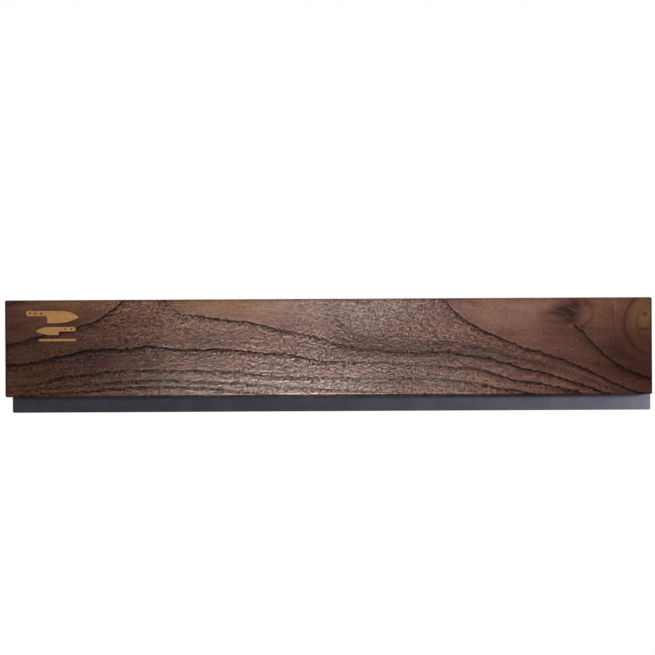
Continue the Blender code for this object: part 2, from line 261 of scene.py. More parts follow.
class Graph:
    """A material's node graph, written as nested calls."""

    def __init__(self, name, **inputs):
        self.material = bpy.data.materials.new(name)
        self.material.use_nodes = True
        self.nodes = self.material.node_tree.nodes
        self.links = self.material.node_tree.links
        self.shader = self.nodes["Principled BSDF"]
        self.set(**inputs)

    def set(self, **inputs):
        """Set or link the shader's sockets: base_color=..., roughness=..."""
        for name, value in inputs.items():
            socket = name.replace("_", " ").title().replace("Ior", "IOR")
            self.join(value, self.shader.inputs[socket])

    def join(self, value, socket):
        """Link a value to a socket, or set it there."""
        if isinstance(value, bpy.types.NodeSocket):
            self.links.new(value, socket)
        elif isinstance(value, (tuple, list)) and len(value) == 3 and socket.type == "RGBA":
            socket.default_value = (*value, 1.0)
        else:
            socket.default_value = value

    def node(self, kind, inputs=(), **settings):
        made = self.nodes.new(kind)
        for key, value in settings.items():
            setattr(made, key, value)
        for key, value in dict(inputs).items():
            self.join(value, made.inputs[key])
        return made

    def math(self, operation, a, b=0.0):
        return self.node("ShaderNodeMath", {0: a, 1: b}, operation=operation).outputs[0]

    def chain(self, operation, values):
        total = values[0]
        for value in values[1:]:
            total = self.math(operation, total, value)
        return total

    def add(self, *values):
        return self.chain("ADD", values)

    def times(self, *values):
        return self.chain("MULTIPLY", values)

    def step(self, value, low, high, to_low=0.0, to_high=1.0):
        """A smooth step from one value to another."""
        inputs = {"Value": value, "From Min": low, "From Max": high, "To Min": to_low, "To Max": to_high}
        made = self.node("ShaderNodeMapRange", inputs, interpolation_type="SMOOTHSTEP")
        return made.outputs["Result"]

    def attribute(self, name):
        return self.node("ShaderNodeAttribute", attribute_name=name).outputs["Fac"]

    def place(self):
        """The point on the object, in millimetres, as x, y and z."""
        point = self.node("ShaderNodeTexCoord").outputs["Object"]
        split = self.node("ShaderNodeSeparateXYZ", {0: point})
        return [self.times(split.outputs[axis], 1.0 / MM) for axis in range(3)]

    def vector(self, x, y, z):
        return self.node("ShaderNodeCombineXYZ", {0: x, 1: y, 2: z}).outputs[0]

    def noise(self, vector, scale=1.0, detail=2.0, roughness=0.5):
        inputs = {"Vector": vector, "Scale": scale, "Detail": detail, "Roughness": roughness}
        return self.node("ShaderNodeTexNoise", inputs).outputs["Fac"]

    def ramp(self, value, *stops):
        """A colour ramp: stops are (place, (r, g, b))."""
        made = self.node("ShaderNodeValToRGB", {"Fac": value})
        elements = made.color_ramp.elements
        while len(elements) < len(stops):
            elements.new(0.5)
        for element, (at, colour) in zip(elements, stops):
            element.position = at
            element.color = (*colour, 1.0)
        return made.outputs["Color"]

    def mix(self, factor, a, b, blend="MIX"):
        inputs = {"Factor": factor, "A": a, "B": b}
        made = self.node("ShaderNodeMix", inputs, data_type="RGBA", blend_type=blend)
        return made.outputs["Result"]

    def bump(self, height):
        """A normal from a height in millimetres."""
        inputs = {"Height": self.times(height, MM), "Distance": 1.0, "Strength": 1.0}
        return self.node("ShaderNodeBump", inputs).outputs["Normal"]


# --- the figure of the wood ---

# The growth rings where they cross the front face, from the lowest to the highest. Each
# is a smooth line through a few (x, z) points, some past the bar's edges, with the
# strength of its dark line at a few (x, strength) points.
RINGS = (
    (((-200, -33), (-120, -29), (-60, -31), (0, -36), (100, -42), (200, -60)), ((0, 0.2),)),
    (((-200, -30), (-175, -28), (-155, -27), (-131, -25), (-105, -24), (-86, -24.5),
      (-55, -27), (-33, -29.5), (20, -33), (100, -37), (200, -54)),
     ((-200, 0.5), (-140, 0.8), (-40, 0.6), (0, 0.2))),
    (((-200, -26.5), (-170, -24), (-142, -22), (-110, -20), (-80, -20.8), (-52, -22.2),
      (-24, -24.5), (20, -27), (60, -29), (100, -32.5), (200, -49)),
     ((-200, 0.3), (-145, 0.6), (-20, 0.6), (30, 0.3))),
    (((-200, -23.5), (-180, -21.5), (-165, -18), (-149, -16), (-128, -14), (-103, -14),
      (-60, -15), (-37, -17.5), (0, -19), (40, -19.3), (74, -20.2), (85, -21.6), (105, -25.6),
      (121, -28.5), (160, -36), (200, -45)),
     ((-200, 0.3), (-165, 0.7), (-10, 0.6), (30, 0.3), (80, 0.5), (110, 0.75))),
    (((-200, -10.6), (-181, -8.4), (-162, -4.1), (-142, -0.8), (-125, -0.6), (-109, 1.3),
      (-98, -0.8), (-80, -1.0), (-61, -1.4), (-43, -3), (-23, -4.9), (-4, -8.9), (15, -8.8),
      (35, -9.6), (74, -12.6), (92, -14), (102, -16.7), (112, -19.9), (131, -23.2),
      (148, -26.8), (165, -32), (200, -40)),
     ((-200, 1.0), (-10, 0.9), (15, 0.4), (60, 0.35), (95, 0.75), (120, 0.9))),
    (((-200, 1.9), (-184, 6), (-169, 9.8), (-154, 13.4), (-142, 18.1), (-134, 22.9),
      (-127, 29), (-117, 35), (-106, 34), (-97, 25), (-93, 21.6), (-82, 20), (-67, 17.3), (-46, 15),
      (-31, 10.8), (-14, 7.9), (-2, 4.6), (14, 0.5), (35, -1.9), (47, -3.6), (74, -3.2),
      (88, -5.5), (104, -8.7), (118, -13.2), (134, -16.9), (148, -21.2), (163, -26.3),
      (173, -29.4), (200, -36)),
     ((-200, 0.8), (-128, 0.9), (-95, 0.6), (-70, 1.0), (-5, 0.75), (15, 0.3), (40, 0.5),
      (75, 0.65), (105, 1.0))),
    (((-200, 14), (-170, 23), (-150, 30), (-125, 42), (-90, 44), (-50, 41), (-12, 36), (1, 25),
      (5, 18), (9, 14.4), (15, 9.5), (30, 5.5), (60, 4), (85, 1.6), (100, -2.2), (118, -7),
      (140, -12.5), (165, -21.5), (182, -28.6), (200, -33)),
     ((-10, 0.0), (4, 0.5), (16, 0.4), (40, 0.15), (90, 0.3))),
    (((-200, 27), (-180, 33), (-150, 44), (-90, 56), (-30, 55), (20, 44), (52, 37), (71, 28.7),
      (80, 20.1), (92, 12), (103, 6.6), (116, 0.8), (132, -4.3), (147, -9.3), (165, -17.4),
      (182, -25.5), (189, -28.4), (200, -31)),
     ((60, 0.4), (75, 0.8), (90, 1.0))),
    (((-200, 42), (-100, 72), (40, 66), (120, 47), (142, 34), (149, 23), (152, 14.5), (157, 8.8),
      (162, 3.2), (171, -5.5), (183, -14), (198, -19.8), (204, -22)),
     ((148, 0.0), (151, 0.4), (153, 0.9))),
    (((-200, 60), (-100, 90), (40, 84), (140, 62), (165, 40), (178, 22), (190, 4), (204, -8)),
     ((0, 0.0),)),
)
# How far apart the rings lie where nothing bends them
RING_HEIGHTS = np.array((0.0, 3.5, 8.0, 14.0, 26.0, 39.0, 50.0, 68.0, 88.0, 104.0))
# How coarse the wood is between each ring and the next: (x, coarseness) points
LOW_GRAIN = ((-200, 0.85), (-120, 0.95), (-60, 1.0), (0, 1.1), (200, 0.9))
GRAIN = (
    LOW_GRAIN, LOW_GRAIN, LOW_GRAIN,
    ((-200, 0.75), (-120, 0.9), (-60, 1.0), (0, 1.15), (80, 1.1), (115, 0.7)),
    ((-200, 0.6), (-155, 0.7), (-132, 1.15), (-95, 1.15), (-60, 1.0), (0, 1.15), (80, 1.1),
     (115, 0.7)),
    ((-200, 0.4), (-145, 0.5), (-125, 1.2), (-104, 1.2), (-92, 0.3), (-40, 0.3), (-10, 1.05),
     (90, 1.15), (130, 0.6), (200, 0.5)),
    ((-200, 0.4), (-145, 0.5), (-125, 1.2), (-104, 1.2), (-92, 0.3), (-50, 0.4), (0, 1.15),
     (100, 1.2), (140, 0.6), (200, 0.5)),
    ((-200, 0.4), (-40, 0.5), (0, 1.05), (70, 1.0), (80, 0.3), (160, 0.3), (200, 0.4)),
    ((0, 0.3),),
)
# The ring that closes on itself at the right end: centre and half axes
LOOP_CENTRE, LOOP_REACH = (205.0, 14.0), (22.0, 20.5)
# Soft patches of lighter (+) or darker (-) wood: x, z, half width, half height, amount
PATCHES = (
    (-66, 26, 30, 7, 0.75), (-40, 20, 22, 6, 0.35), (110, 17, 34, 14, 0.85), (10, 31, 80, 9, 0.5),
    (130, 27, 16, 7, 0.4), (-112, 27, 14, 6, 0.5), (86, 10, 12, 7, -0.3),
    (-158, 27, 28, 6, 0.85), (198, 17, 12, 12, 0.55), (163, 21, 9, 10, 0.45), (172, 12, 12, 8, 0.2),
    (-112, 18, 16, 5, -0.25), (186, -14, 24, 12, -0.55), (196, -24, 16, 10, -0.3),
    (-190, -12, 22, 14, -0.15), (8, 16, 7, 11, -0.35), (33, 14, 10, 10, 0.1),
    (150, -17, 26, 5, 0.25), (-160, -26, 30, 4, 0.15),
    (130, -2, 30, 4, 0.1), (60, -3, 60, 6, -0.3), (-120, -7, 30, 4, -0.15),
    (-155, -8, 34, 12, -0.4), (-128, 20, 10, 8, 0.3), (12, 0, 14, 6, -0.3), (30, 26, 16, 6, 0.25),
    (-22, 24, 16, 6, 0.2), (90, -20, 24, 6, 0.2), (180, -23, 22, 5, 0.25), (-75, -20, 24, 6, 0.2),
    (-10, -11, 8, 4, 0.3), (186, 6, 10, 8, -0.25), (198, 22, 9, 9, 0.5), (180, 25, 10, 6, 0.35),
    (195.7, 19.5, 1.6, 1.2, -1.2), (195.5, 10.4, 3.5, 0.7, -1.0), (-130, -20, 34, 12, -0.3),
    (95, -4, 34, 8, -0.25), (22, 2, 24, 8, -0.35), (-128, 0, 26, 7, -0.25), (-50, 6, 14, 5, -0.15),
    (135, -25, 40, 5, 0.3), (48, -21, 25, 8, -0.5), (45, -1, 34, 7, -0.3), (188, 0, 12, 8, -0.25),
    (-78, 4, 20, 6, -0.3), (170, 27, 10, 5, 0.3), (-134, 26, 8, 5, 0.35), (-10, -23, 14, 4, 0.3),
    (-80, 13, 18, 4, 0.4),
)
# Yellower wood, in the same form
OLIVES = (
    (-66, 26, 26, 7, 1.4), (-160, 27, 28, 7, 1.0), (198, 18, 11, 12, 1.2), (172, 25, 12, 7, 0.6),
    (-80, 13, 20, 4, 1.0), (-170, -24, 40, 6, 0.8), (-95, -8, 12, 3, 0.5),
)
# Painted sheen: the raised grain greyed where the front lamps' sheen falls, in the same form
PAINTED_SHEENS = (
    (22, 23, 48, 11, 0.85), (-22, -26, 40, 8, 0.75), (-75, 18, 30, 8, 0.4), (-30, 27, 20, 5, 0.5),
    (-85, -25, 25, 6, 0.4), (70, -22, 18, 6, 0.2), (125, 26, 24, 8, 0.3),
)
SIDE_PAINTED_SHEEN = 0.6  # how much painted sheen greys the sides everywhere
# The knot: a dark smear beside the start of the highest ring line
KNOT = ((148.5, 20.5, 6.5, 4.0, 1.2), (139.0, 21.0, 9.0, 2.6, 1.0), (152.5, 25.0, 2.8, 4.5, 1.2),
        (145.0, 24.5, 6.0, 2.0, 0.7), (141.0, 14.8, 10.0, 1.1, 0.8), (150.0, 16.0, 3.5, 1.5, 0.8))
# The darker edge of the ring that lies beside the knot: centre and half axes
EYE_CENTRE, EYE_REACH = (154.5, 20.5), (8.5, 9.0)
END_SHADE_REACH = 1.6  # how far in from its ends the bar is painted darker, as painted shade on its eased ends
RING_SLANT = 0.85  # how far the rings climb for each millimetre into the wood
RING_ROUND = 0.012  # and how they bend on the way


def smooth_line(points, x):
    """A smooth curve through the points, evaluated at x: a cubic Hermite spline."""
    px, pz = np.array(points, float).T
    slopes = np.gradient(pz, px)
    index = np.clip(np.searchsorted(px, x) - 1, 0, len(px) - 2)
    width = px[index + 1] - px[index]
    t = np.clip((x - px[index]) / width, -0.5, 1.5)
    rise = pz[index + 1] - pz[index]
    start, end = slopes[index] * width, slopes[index + 1] * width
    return pz[index] + t * start + t * t * (3 * rise - 2 * start - end) + t**3 * (start + end - 2 * rise)


def blobs(x, z, patches):
    """The sum of soft patches, each (x, z, half width, half height, amount)."""
    total = np.zeros_like(x)
    for px, pz, width, height, amount in patches:
        total += amount * np.exp(-(((x - px) / width) ** 2) - ((z - pz) / height) ** 2)
    return total


def from_centre(x, z, centre, reach):
    """How far out points lie in an ellipse: 0 at its centre, 1 on its edge."""
    return np.hypot((x - centre[0]) / reach[0], (z - centre[1]) / reach[1])


def figure(points):
    """The wood's figure at points in millimetres, as a dict of arrays.

    ring counts the ring lines from the lowest up, gap is the distance between two of
    them, strength how dark they are, flow a height that follows the grain, loop the
    distance outside the closed ring, height where the point's rings reach the front,
    coarse how coarse the grain is. tone, olive and knot are the patches, painted_sheen
    is the painted sheen on the front's patches and over the sides, and end rises to 1
    at the bar's ends, where it paints shade.
    """
    x, y, z = points.T
    depth = y - WOOD_FRONT
    z = z + RING_SLANT * depth - RING_ROUND * depth**2
    lines = np.array([smooth_line(line, x) for line, _ in RINGS])
    for upper in range(1, len(lines)):
        lines[upper] = np.maximum(lines[upper], lines[upper - 1] + 1.5)
    strengths = np.array([np.interp(x, *np.array(s, float).T) for _, s in RINGS])
    below = np.clip((z >= lines).sum(0) - 1, 0, len(RINGS) - 2)
    each = np.arange(len(x))
    low, high = lines[below, each], lines[below + 1, each]
    share = (z - low) / (high - low)
    coarse = np.array([np.interp(x, *np.array(c, float).T) for c in GRAIN])[below, each]
    inside = np.clip(share, 0.0, 1.0)
    start, rise = RING_HEIGHTS[below], np.diff(RING_HEIGHTS)[below]
    flow = 0.35 * (start + share * rise) + 0.65 * z
    strength = strengths[below, each] * (1 - inside) + strengths[below + 1, each] * inside
    loop = (from_centre(x, z, LOOP_CENTRE, LOOP_REACH) - 1.0) * LOOP_REACH[1]
    near_loop = np.clip(1.0 - loop / 9.0, 0.0, 1.0) ** 2
    flow = flow * (1 - near_loop) + (110.0 - loop) * near_loop
    tone, olive, painted_sheen, knot = (blobs(x, z, p) for p in (PATCHES, OLIVES, PAINTED_SHEENS, KNOT))
    eye = np.exp(-(((from_centre(x, z, EYE_CENTRE, EYE_REACH) - 1.0) / 0.13) ** 2))
    tone -= 0.4 * eye * np.clip((x - EYE_CENTRE[0] + 1) / 3.0, 0.0, 1.0)
    return {
        "ring": below + share,
        "gap": high - low,
        "strength": strength * np.clip(loop / 6.0 + 0.4, 0.0, 1.0),
        "flow": flow,
        "tone": tone,
        "olive": np.clip(olive, 0.0, 1.2),
        "painted_sheen": np.clip(painted_sheen + SIDE_PAINTED_SHEEN * np.clip(depth / 3.0, 0.0, 1.0), 0.0, 1.0),
        "loop": loop,
        "knot": np.clip(knot, 0.0, 1.2),
        "height": z,
        "coarse": coarse * np.clip(loop / 20.0 + 0.3, 0.3, 1.0),
        "end": np.clip((np.abs(x) - WOOD_HIGH[0]) / END_SHADE_REACH + 1.0, 0.0, 1.0) ** 1.5,
    }


# --- the walnut bar ---

FRONT_PITCH = 0.58  # distance between the mesh's points on the front face
DEPTH_PITCH = 2.4  # and from front to back
LINE_GROOVE = 0.05  # depth of a ring line
GRAIN_RELIEF = 0.06  # depth of the brushed grain
SKIN_SINK = 0.002  # keeps the skin inside the CAD model's box


def grid_lines(low, high, pitch):
    """Places across one side of the bar: close together on the eased edges."""
    eased = [WOOD_EDGE * (1 - tan(radians(angle))) for angle in (45, 30, 15)]
    count = max(1, round((high - low - 2 * WOOD_EDGE) / pitch))
    middle = np.linspace(low + WOOD_EDGE, high - WOOD_EDGE, count + 1)
    return np.array([*(low + t for t in eased), *middle, *(high - t for t in eased[::-1])])


def outward(points):
    """For points on the bar's box: the nearest point of the core, and the way out."""
    core = np.clip(points, WOOD_LOW + WOOD_EDGE, WOOD_HIGH - WOOD_EDGE)
    away = points - core
    length = np.linalg.norm(away, axis=1, keepdims=True)
    return core, away / np.maximum(length, 1e-9), length[:, 0]


def bar_shell():
    """The bar as a closed mesh with eased edges: a dense front, and one flat face behind."""
    lines = [
        grid_lines(WOOD_LOW[axis], WOOD_HIGH[axis], pitch)
        for axis, pitch in enumerate((FRONT_PITCH, DEPTH_PITCH, FRONT_PITCH))
    ]
    surface = np.zeros([len(line) for line in lines], bool)
    surface[[0, -1]] = surface[:, [0, -1]] = surface[:, :, [0, -1]] = True
    rim = 3  # grid lines from the box's edge to the flat part
    surface[rim + 1 : -rim - 1, -1, rim + 1 : -rim - 1] = False
    index = np.full(surface.shape, -1)
    index[surface] = np.arange(surface.sum())
    grid = np.stack(np.meshgrid(*lines, indexing="ij"), -1)[surface]
    core, way, _ = outward(grid)
    points = core + way * WOOD_EDGE

    def quads(side):
        corners = (side[:-1, :-1], side[1:, :-1], side[1:, 1:], side[:-1, 1:])
        faces = np.stack(corners, -1).reshape(-1, 4)
        return faces[(faces >= 0).all(1)]

    sides = [index[:, 0], index[:, -1], index[0], index[-1], index[:, :, 0], index[:, :, -1]]
    faces = [row for side in sides for row in quads(side).tolist()]
    flat = index[rim:-rim, -1, rim:-rim]
    ring = [*flat[:, 0], *flat[-1, 1:], *flat[-2::-1, -1], *flat[0, -2:0:-1]]
    faces.append([int(corner) for corner in ring])
    mesh = bpy.data.meshes.new("grid")
    mesh.from_pydata(points.tolist(), [], faces)
    bm = bmesh.new()
    bm.from_mesh(mesh)
    return mesh_from(bm, "walnut_shell")


CHANNEL_FLOOR = box_mm("pole_rail_upper")[0][1] - 0.3
CHANNEL_ROOM = (6.0, 0.6)  # past the rails' ends, and above and below them
CHANNEL_CORNER = 5.0
PILOT_RADIUS, PILOT_ROOM = 1.85, 0.3  # and the room past a screw's tip
POCKET_RADIUS, POCKET_DEPTH = 4.9, 4.5  # room for the wall screws' heads
LIFT = 9.0  # from a keyhole's slot down to its round entry
MARKS = ("mark_knife_upper", "mark_knife_lower", "mark_line")
MARK_SHARES = {  # handle length, handle height, point to the left
    "mark_knife_upper": (12.0, 3.5, False),
    "mark_knife_lower": (9.5, 2.9, True),
}
RECESS_GAP = 0.05  # around and behind the marks
LINE_CORNER = 0.7
RIVET_RADIUS = 0.5
INLAY_EDGE = 0.35  # width of the marks' scorched edge


def knife_outline(node):
    """The outline of an inlaid knife, as its CAD node has it but with rounder curves."""
    low, high = box_mm(node)
    handle, grip, leftwards = MARK_SHARES[node]
    reach, blade = high[0] - low[0], high[2] - low[2]
    radius = grip / 2
    heel = (handle + 1.2, -blade)
    belly = (handle + 0.35 * (reach - handle), -blade)
    bend = (handle + 0.4 * (reach - handle), 0.0)
    tip = (reach, -0.55 * blade)
    points = arc((radius, -radius), radius, 90, 270, 20)
    points += [(handle, -grip), (heel[0], -grip - 0.6), heel, belly]
    points += sweep(belly, (0.5 * (belly[0] + reach), -blade), tip, 16)
    points += sweep(tip, (0.55 * (bend[0] + reach), -0.02 * blade), bend, 16)
    if leftwards:
        return [(high[0] - x, high[2] + z) for x, z in points][::-1]
    return [(low[0] + x, high[2] + z) for x, z in points]


def mark_outline(node):
    """The outline of one of the three inlaid shapes."""
    if node in MARK_SHARES:
        return knife_outline(node)
    low, high = box_mm(node)
    return rounded_rectangle(low[0], high[0], low[2], high[2], LINE_CORNER, 8)


def bar_cutters():
    """What is taken out of the bar: the magnets' channel, pockets, pilot holes, recesses."""
    over = WOOD_HIGH[1] + 1.0
    rail_low, rail_high = box_mm("pole_rail_lower")[0], box_mm("pole_rail_upper")[1]
    channel = rounded_rectangle(
        rail_low[0] - CHANNEL_ROOM[0], rail_high[0] + CHANNEL_ROOM[0],
        rail_low[2] - CHANNEL_ROOM[1], rail_high[2] + CHANNEL_ROOM[1], CHANNEL_CORNER, 12,
    )
    bodies = [prism(channel, CHANNEL_FLOOR, over)]
    for side in SIDES:
        x, z = centre_xz(f"wall_screw_{side}")
        lower = arc((x, z - LIFT), POCKET_RADIUS, 180, 360, 24)
        pocket = lower + arc((x, z), POCKET_RADIUS, 0, 180, 24)
        bodies.append(prism(pocket, WOOD_HIGH[1] - POCKET_DEPTH, over))
    for node in PLATE_SCREWS:
        hole = arc(centre_xz(node), PILOT_RADIUS, 0, 348.75, 31)
        bodies.append(prism(hole, box_mm(node)[0][1] - PILOT_ROOM, over))
    for node in MARKS:
        floor = box_mm(node)[1][1] + RECESS_GAP
        bodies.append(prism(grown(mark_outline(node), RECESS_GAP), WOOD_FRONT - 1.0, floor))
    return [mesh_from(bm, "cutter") for bm in bodies]


def relief(points, marks):
    """How far the surface sinks at points in millimetres: ring grooves and brushed grain."""
    distance = (marks["ring"] - np.round(marks["ring"])) * marks["gap"]
    groove = marks["strength"] * np.exp(-((distance / 0.8) ** 2))
    groove = np.maximum(groove, np.exp(-(marks["loop"] ** 2)))
    grain = np.array([
        noise.noise((0.28 * x, 0.9 * y, 1.05 * flow)) + 0.5 * noise.noise((0.6 * x, 2.0 * y, 2.3 * flow))
        for x, y, flow in zip(points[:, 0], points[:, 1], marks["flow"])
    ])
    return LINE_GROOVE * groove + GRAIN_RELIEF * np.clip(0.5 + 0.6 * grain, 0.0, 1.0)


def make_walnut(material):
    """The bar's piece: the shell, cut out, with relief, and the figure as attributes."""
    mesh = cut_away(bar_shell(), bar_cutters(), "MANIFOLD")
    points = read_points(mesh)
    marks = figure(points)
    _, way, length = outward(points)
    on_skin = (np.abs(length - WOOD_EDGE) < 0.01) & (way[:, 1] < 0.5)
    sink = np.where(on_skin, SKIN_SINK + relief(points, marks), 0.0)
    write_points(mesh, points - way * sink[:, None])
    for name, values in marks.items():
        attribute = mesh.attributes.new(name, "FLOAT", "POINT")
        attribute.data.foreach_set("value", values.astype(np.float32))
    mesh.shade_smooth()
    mesh.set_sharp_from_angle(angle=radians(50.0))
    new_piece("walnut", mesh, material, "bar", "walnut", "walnut_bar")


class WalnutGraph(Graph):
    """The walnut's node graph, with noise that follows the grain."""

    def __init__(self):
        super().__init__("walnut")
        self.x, self.y, self.z = self.place()
        self.flow = self.attribute("flow")
        self.drawn_out = self.step(self.x, -30.0, 40.0, 1.0, 0.2)  # longer grain on the left

    def grain(self, along, across, shift=0.0, up=None, **settings):
        """Noise stretched along the grain, centred on 0: periods per millimetre each way."""
        x = self.add(self.times(self.x, along), shift)
        place = self.vector(x, self.times(self.y, across), self.times(up or self.flow, across))
        return self.add(self.noise(place, **settings), -0.5)


def ring_lines(g):
    """The ring lines, wavy and beaded, and a band of pores and a dark smear under each."""
    wave = g.times(g.grain(0.11, 0.06, detail=3.0), 2.2)
    wave = g.add(wave, g.times(g.grain(0.45, 0.3, 51.0), 2.4))
    gap, strength = g.attribute("gap"), g.attribute("strength")
    ring = g.add(g.attribute("ring"), g.math("DIVIDE", wave, gap))
    nearest = g.math("FLOOR", g.add(ring, 0.5))
    distance = g.times(g.math("SUBTRACT", ring, nearest), gap)
    width = g.add(1.25, g.times(g.grain(0.42, 0.5, 7.0, roughness=0.6), 6.5))
    line = g.times(g.step(g.math("ABSOLUTE", distance), width, 0.1), strength)
    loop = g.add(g.attribute("loop"), g.times(g.grain(0.2, 0.2, 3.0), 1.6))
    loop_line = g.times(g.step(g.math("ABSOLUTE", loop), 1.9, 0.2), 0.42)
    band = g.times(g.step(distance, -5.5, -0.4), g.step(distance, 0.6, -0.2), strength)
    clumps = g.step(g.grain(0.3, 0.5, 71.0, roughness=0.6), -0.1, 0.14)
    smear = g.times(g.step(distance, -3.2, -0.4), g.step(distance, 0.5, -0.2), strength, clumps)
    return g.math("MAXIMUM", line, loop_line), band, smear


def brushed_grain(g, coarse):
    """Short grit, long fibres, the ripples that a brush leaves, and dashes, which are pores."""
    grit = g.grain(0.62, 0.63, up=g.attribute("height"), detail=3.0, roughness=0.68)
    fibres = g.times(g.grain(0.06, 0.62, 11.0, detail=1.0), g.drawn_out)
    swing = g.times(g.grain(0.05, 0.12, 97.0), 11.0)
    ripple = g.times(
        g.math("SINE", g.add(g.times(g.flow, 1.9), swing)),
        g.step(g.grain(0.1, 0.2, 61.0, detail=1.0), -0.15, 0.15),
        g.step(g.z, 8.0, -16.0, 0.35, 1.0),
        g.drawn_out,
    )
    dashes = g.step(g.grain(0.46, 0.74, 19.0, detail=1.0), 0.04, 0.15)
    return [g.times(part, coarse) for part in (grit, fibres, ripple, dashes)]


def wood_colour(g, coarse, fibres, ripple, band):
    """Brown from dark to light, with yellower and redder streaks."""
    rings_fine = g.grain(0.012, 0.3, 5.0, roughness=0.55)
    mottle = g.grain(0.035, 0.08, 2.0, detail=3.0, roughness=0.6)
    streaks = g.grain(0.05, 0.2, 41.0, roughness=0.6)
    tone = g.add(
        0.4, g.times(g.attribute("tone"), 0.4), g.times(mottle, 0.45), g.times(streaks, 0.45),
        g.times(rings_fine, g.add(0.12, g.times(coarse, 0.2))),
        g.times(fibres, 0.15), g.times(ripple, 0.06), g.times(band, -0.22),
    )
    colour = g.ramp(
        tone, (0.0, (0.036, 0.012, 0.009)), (0.3, (0.087, 0.032, 0.022)),
        (0.5, (0.13, 0.05, 0.035)), (0.72, (0.205, 0.092, 0.06)), (1.0, (0.31, 0.158, 0.092)),
    )
    yellow = g.step(g.grain(0.05, 0.3, 67.0), 0.0, 0.16, 0.0, 0.55)
    yellow = g.add(g.attribute("olive"), g.times(yellow, g.drawn_out))
    colour = g.mix(yellow, colour, g.mix(1.0, colour, (1.02, 1.07, 0.74), "MULTIPLY"))
    red = g.step(g.grain(0.05, 0.14, 29.0), 0.02, 0.25, 0.0, 0.3)
    return g.mix(red, colour, (0.125, 0.036, 0.022))


def walnut_material():
    """Oiled, wire-brushed walnut: ring lines, pores, grit, fibres and patches of tone."""
    g = WalnutGraph()
    line, band, smear = ring_lines(g)
    coarse = g.times(g.attribute("coarse"), g.step(band, 0.0, 0.7, 0.9, 1.3))
    grit, fibres, ripple, dashes = brushed_grain(g, coarse)
    smudge = g.step(g.grain(0.1, 0.75, 83.0), -0.16, 0.06, 0.55, 1.0)
    knot = g.times(g.attribute("knot"), smudge)

    colour = wood_colour(g, coarse, fibres, ripple, band)
    shade = g.times(g.step(grit, -0.24, 0.24, 0.32, 1.6), g.add(1.0, g.times(dashes, -0.45)))
    colour = g.mix(1.0, colour, g.vector(shade, shade, shade), "MULTIPLY")
    # Painted sheen: the raised grain is greyed where the front lamps' sheen falls, and over the sides.
    wear_and_sheen = g.times(g.attribute("painted_sheen"), g.step(grit, -0.15, 0.2, 0.06, 0.5))
    colour = g.mix(wear_and_sheen, colour, (0.36, 0.31, 0.3))
    dark = (0.01, 0.006, 0.006)
    colour = g.mix(g.times(smear, 0.55), colour, dark)
    colour = g.mix(g.times(line, 0.88), colour, dark)
    colour = g.mix(g.times(knot, 0.72), colour, (0.026, 0.011, 0.013))
    # Painted shade: the bar's ends and their eased edges are darkened.
    colour = g.mix(g.times(g.attribute("end"), 0.6), colour, (0.024, 0.012, 0.009))

    raised = g.add(
        g.times(grit, 0.15), g.times(fibres, 0.035), g.times(ripple, 0.02),
        g.times(dashes, -0.04), g.times(line, -0.04),
    )
    rough = g.add(0.26, g.times(dashes, 0.12), g.times(line, 0.2))
    gloss = g.times(
        g.add(0.5, g.times(line, -0.46)), g.add(1.0, g.times(dashes, -0.6)),
        g.add(1.0, g.times(knot, -0.6)), g.add(1.0, g.times(smear, -0.5)),
        g.step(g.attribute("tone"), -1.0, 0.0, 0.5, 1.0),
    )
    g.set(base_color=colour, roughness=rough, specular_ior_level=gloss, normal=g.bump(raised))
    return g.material


# --- the other pieces ---


def painted_steel():
    """Dark blue-grey satin paint over steel, with a faint orange peel."""
    g = Graph("dark_painted_steel")
    point = g.vector(*g.place())
    peel = g.noise(point, 0.55)
    dust = g.noise(point, 0.06, 4.0, 0.65)
    colour = g.mix(g.step(dust, 0.35, 0.7), (0.042, 0.04, 0.052), (0.054, 0.052, 0.067))
    rough = g.add(0.34, g.times(dust, 0.12))
    g.set(base_color=colour, roughness=rough, normal=g.bump(g.times(peel, 0.012)))
    return g.material


def bare_metal(name, colour, rough, stretch):
    """Metal with fine marks drawn out along X."""
    g = Graph(name, metallic=1.0)
    x, y, z = g.place()
    marks = g.noise(g.vector(g.times(x, stretch), y, z), 6.0, 3.0, 0.6)
    cloud = g.noise(g.vector(x, y, z), 0.4, 3.0, 0.6)
    wear_and_sheen = g.mix(g.step(cloud, 0.4, 0.7, 0.0, 0.5), colour, tuple(c * 0.7 for c in colour))
    rough_value = g.add(rough, g.times(marks, 0.15))
    g.set(base_color=wear_and_sheen, roughness=rough_value, normal=g.bump(g.times(marks, 0.004)))
    return g.material


def speckled(name, light, dark, rough, scale, depth):
    """A matt, slightly uneven surface: ferrite, rubber, nylon or foam."""
    g = Graph(name)
    point = g.vector(*g.place())
    grit = g.noise(point, scale, 4.0, 0.65)
    cloud = g.noise(point, scale * 0.08, 3.0, 0.6)
    colour = g.mix(g.step(grit, 0.35, 0.7), dark, light)
    colour = g.mix(g.step(cloud, 0.35, 0.75, 0.0, 0.35), colour, dark)
    rough_value = g.add(rough, g.times(grit, 0.1))
    g.set(base_color=colour, roughness=rough_value, normal=g.bump(g.times(grit, depth)))
    return g.material


def inlay_material():
    """Tan inlay: pale wood with a scorched edge."""
    g = Graph("tan_inlay", roughness=0.5)
    x, y, z = g.place()
    fibres = g.noise(g.vector(g.times(x, 0.25), y, g.times(z, 2.2)), 1.0, 3.0, 0.6)
    blotch = g.noise(g.vector(x, y, z), 0.35)
    inner = g.attribute("inner")
    colour = g.mix(g.step(fibres, 0.35, 0.7), (0.42, 0.19, 0.062), (0.66, 0.36, 0.135))
    edge = g.step(g.add(inner, g.times(g.add(blotch, -0.5), 0.9)), 0.15, 0.85, 0.85, 0.0)
    colour = g.mix(edge, colour, (0.3, 0.09, 0.022))
    g.set(base_color=colour, normal=g.bump(g.times(fibres, 0.03)))
    return g.material


